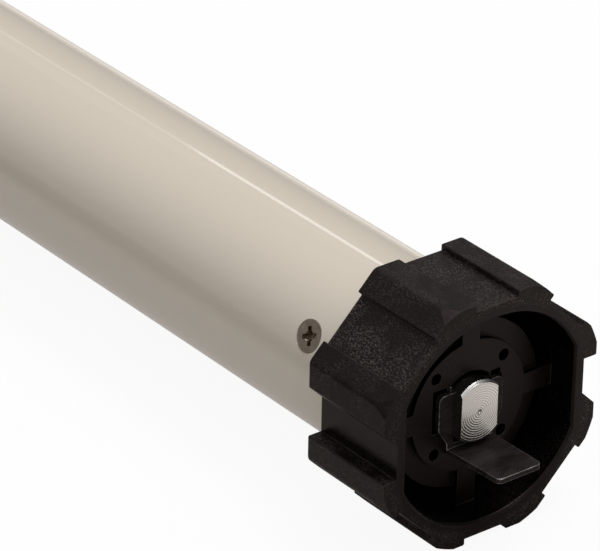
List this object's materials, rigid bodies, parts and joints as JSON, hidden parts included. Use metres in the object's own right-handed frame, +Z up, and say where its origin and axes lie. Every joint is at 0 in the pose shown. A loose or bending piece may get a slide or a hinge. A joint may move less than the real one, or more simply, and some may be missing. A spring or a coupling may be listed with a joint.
{
  "type": "tubular roller blind motor",
  "caption": "Radio roller blind motor in a slim round tube, with an octagonal drive wheel on a two-flat shaft, planetary gears, a spring brake and a limit-sensing crown.",
  "frame": {"origin": "on the motor axis at the mounting face of the fixed head, midway between the two threaded inserts", "axes": "+X along the motor from the head to the drive wheel, +Z up, so the flats of the output shaft face +Y and -Y"},
  "size_m": [0.5815, 0.0584, 0.0584],
  "materials": {
    "cream_paint": "gloss",
    "black_nylon": "fine grain",
    "turned_steel": "turned",
    "clip_steel": "dark and glossy",
    "screw_steel": "zinc plated",
    "cast_alloy": "as cast",
    "bronze": "sintered",
    "gear_steel": "sintered",
    "gear_plastic": "moulded",
    "laminations": "stacked sheet",
    "cage_alloy": "cast",
    "copper": "enamelled wire",
    "brake_iron": "machined",
    "brake_lining": "pressed lining",
    "spring_steel": "drawn wire",
    "white_plastic": "moulded",
    "grey_plastic": "moulded",
    "board_green": "lacquered",
    "relay_blue": "moulded",
    "terminal_green": "moulded",
    "supply_yellow": "moulded",
    "radio_can": "tinned",
    "lead_insulation": "extruded",
    "magnet_black": "moulded ferrite",
    "brass": "turned",
    "clear_plastic": "clear"
  },
  "bodies": {
    "motor": {"motor_tube": "cream_paint", "tube_screws": "screw_steel", "output_end_cap": "cast_alloy", "output_bush": "bronze", "ring_gear": "gear_steel", "gear_plate": "cast_alloy", "brake_spring": "spring_steel", "brake_magnet": "brake_iron", "brake_coil": "copper", "end_bell_output": "cast_alloy", "end_bell_head": "cast_alloy", "rotor_bushes": "bronze", "stator_core": "laminations", "stator_windings": "copper", "run_capacitor": "white_plastic", "capacitor_cradle": "grey_plastic", "inner_leads": "lead_insulation", "board_tray": "grey_plastic", "control_board": "board_green", "relays": "relay_blue", "radio_module": "radio_can", "power_supply": "supply_yellow", "terminal_blocks": "terminal_green", "turn_sensor": "board_green", "tube_plug": "black_nylon", "head_screws": "screw_steel", "head_body": "black_nylon", "mounting_pin": "screw_steel", "mount_inserts": "brass", "cable_contacts": "brass", "button_bezel": "clear_plastic", "button_spring": "spring_steel", "prog_switch": "grey_plastic"},
    "output": {"output_shaft": "turned_steel", "drive_wheel": "black_nylon", "locking_clip": "clip_steel", "output_carrier": "gear_steel", "shaft_circlip": "clip_steel"},
    "stage_2": {"carrier_2": "gear_steel"},
    "stage_1": {"carrier_1": "gear_steel"},
    "rotor": {"rotor_shaft": "turned_steel", "rotor_core": "laminations", "rotor_cage": "cage_alloy", "motor_pinion": "turned_steel", "brake_disc": "brake_lining"},
    "armature": {"brake_armature": "brake_iron"},
    "crown": {"crown_ring": "grey_plastic", "crown_adapter": "black_nylon"},
    "sensor": {"sensor_pinion": "white_plastic", "sensor_magnet": "magnet_black"},
    "button": {"prog_button": "white_plastic"},
    "planet_3a": {"planet_3a": "gear_steel"},
    "planet_3b": {"planet_3b": "gear_steel"},
    "planet_3c": {"planet_3c": "gear_steel"},
    "planet_2a": {"planet_2a": "gear_steel"},
    "planet_2b": {"planet_2b": "gear_steel"},
    "planet_2c": {"planet_2c": "gear_steel"},
    "planet_1a": {"planet_1a": "gear_plastic"},
    "planet_1b": {"planet_1b": "gear_plastic"},
    "planet_1c": {"planet_1c": "gear_plastic"}
  },
  "joints": [
    {"name": "rotor_spin", "type": "hinge", "parent": "motor", "child": "rotor", "pos_m": [0.37, 0, 0], "axis": [1, 0, 0], "continuous": true},
    {"name": "stage_1_spin", "type": "hinge", "parent": "motor", "child": "stage_1", "pos_m": [0.476, 0, 0], "axis": [1, 0, 0], "continuous": true},
    {"name": "stage_2_spin", "type": "hinge", "parent": "motor", "child": "stage_2", "pos_m": [0.49, 0, 0], "axis": [1, 0, 0], "continuous": true},
    {"name": "drive_spin", "type": "hinge", "parent": "motor", "child": "output", "pos_m": [0.524, 0, 0], "axis": [1, 0, 0], "continuous": true},
    {"name": "planet_1a_spin", "type": "hinge", "parent": "stage_1", "child": "planet_1a", "pos_m": [0.4707, 0.01125, 0], "axis": [1, 0, 0], "continuous": true},
    {"name": "planet_1b_spin", "type": "hinge", "parent": "stage_1", "child": "planet_1b", "pos_m": [0.4707, -0.00562, 0.00974], "axis": [1, 0, 0], "continuous": true},
    {"name": "planet_1c_spin", "type": "hinge", "parent": "stage_1", "child": "planet_1c", "pos_m": [0.4707, -0.00562, -0.00974], "axis": [1, 0, 0], "continuous": true},
    {"name": "planet_2a_spin", "type": "hinge", "parent": "stage_2", "child": "planet_2a", "pos_m": [0.4836, 0.01125, 0], "axis": [1, 0, 0], "continuous": true},
    {"name": "planet_2b_spin", "type": "hinge", "parent": "stage_2", "child": "planet_2b", "pos_m": [0.4836, -0.00562, 0.00974], "axis": [1, 0, 0], "continuous": true},
    {"name": "planet_2c_spin", "type": "hinge", "parent": "stage_2", "child": "planet_2c", "pos_m": [0.4836, -0.00562, -0.00974], "axis": [1, 0, 0], "continuous": true},
    {"name": "planet_3a_spin", "type": "hinge", "parent": "output", "child": "planet_3a", "pos_m": [0.4995, 0.01125, 0], "axis": [1, 0, 0], "continuous": true},
    {"name": "planet_3b_spin", "type": "hinge", "parent": "output", "child": "planet_3b", "pos_m": [0.4995, -0.00562, 0.00974], "axis": [1, 0, 0], "continuous": true},
    {"name": "planet_3c_spin", "type": "hinge", "parent": "output", "child": "planet_3c", "pos_m": [0.4995, -0.00562, -0.00974], "axis": [1, 0, 0], "continuous": true},
    {"name": "brake_release", "type": "slide", "parent": "motor", "child": "armature", "axis": [-1, 0, 0], "range_m": [0, 0.0006], "stiffness_N_per_m": 600, "springref_m": -0.002, "deforming": ["brake_spring"]},
    {"name": "crown_spin", "type": "hinge", "parent": "motor", "child": "crown", "pos_m": [0.03, 0, 0], "axis": [1, 0, 0], "continuous": true},
    {"name": "sensor_spin", "type": "hinge", "parent": "motor", "child": "sensor", "pos_m": [0.0406, 0, 0.014], "axis": [1, 0, 0], "continuous": true},
    {"name": "button_press", "type": "slide", "parent": "motor", "child": "button", "axis": [0, 0, -1], "range_m": [0, 0.0012], "stiffness_N_per_m": 500, "deforming": ["button_spring"]}
  ],
  "couplings": [
    {"joint": "stage_1_spin", "follows": "rotor_spin", "ratio": 0.2},
    {"joint": "stage_2_spin", "follows": "rotor_spin", "ratio": 0.04},
    {"joint": "drive_spin", "follows": "rotor_spin", "ratio": 0.008},
    {"joint": "planet_1a_spin", "follows": "rotor_spin", "ratio": -0.53333},
    {"joint": "planet_1b_spin", "follows": "rotor_spin", "ratio": -0.53333},
    {"joint": "planet_1c_spin", "follows": "rotor_spin", "ratio": -0.53333},
    {"joint": "planet_2a_spin", "follows": "rotor_spin", "ratio": -0.10667},
    {"joint": "planet_2b_spin", "follows": "rotor_spin", "ratio": -0.10667},
    {"joint": "planet_2c_spin", "follows": "rotor_spin", "ratio": -0.10667},
    {"joint": "planet_3a_spin", "follows": "rotor_spin", "ratio": -0.021333},
    {"joint": "planet_3b_spin", "follows": "rotor_spin", "ratio": -0.021333},
    {"joint": "planet_3c_spin", "follows": "rotor_spin", "ratio": -0.021333},
    {"joint": "sensor_spin", "follows": "crown_spin", "ratio": 3.3333}
  ]
}
